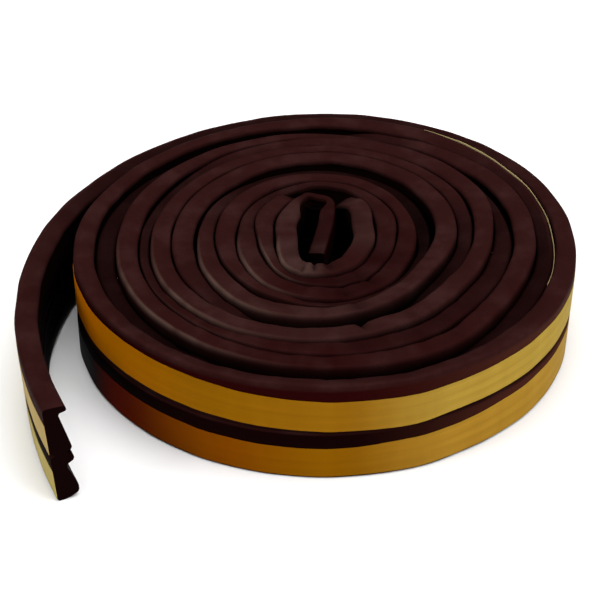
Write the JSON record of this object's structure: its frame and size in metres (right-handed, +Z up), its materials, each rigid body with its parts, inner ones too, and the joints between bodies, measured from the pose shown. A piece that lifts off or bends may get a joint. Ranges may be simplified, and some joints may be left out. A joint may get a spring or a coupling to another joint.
{
  "type": "rubber seal strip roll",
  "caption": "Double E-profile foam rubber weatherstrip with paper liners, wound into a loose roll with its free end lying beside it",
  "frame": {"origin": "Bottom centre of the box round the roll and its loose end, on the floor it lies on", "axes": "+Z up along the axis of the roll; the loose end lies to -X and its cut end points to -Y"},
  "size_m": [0.0958, 0.0964, 0.0186],
  "materials": {
    "rubber": "matt foam skin, dark brown",
    "liner_paper": "smooth silicone paper, gold brown"
  },
  "bodies": {
    "root": {"seal_strip": "rubber", "upper_liner": "liner_paper", "lower_liner": "liner_paper"}
  },
  "joints": []
}
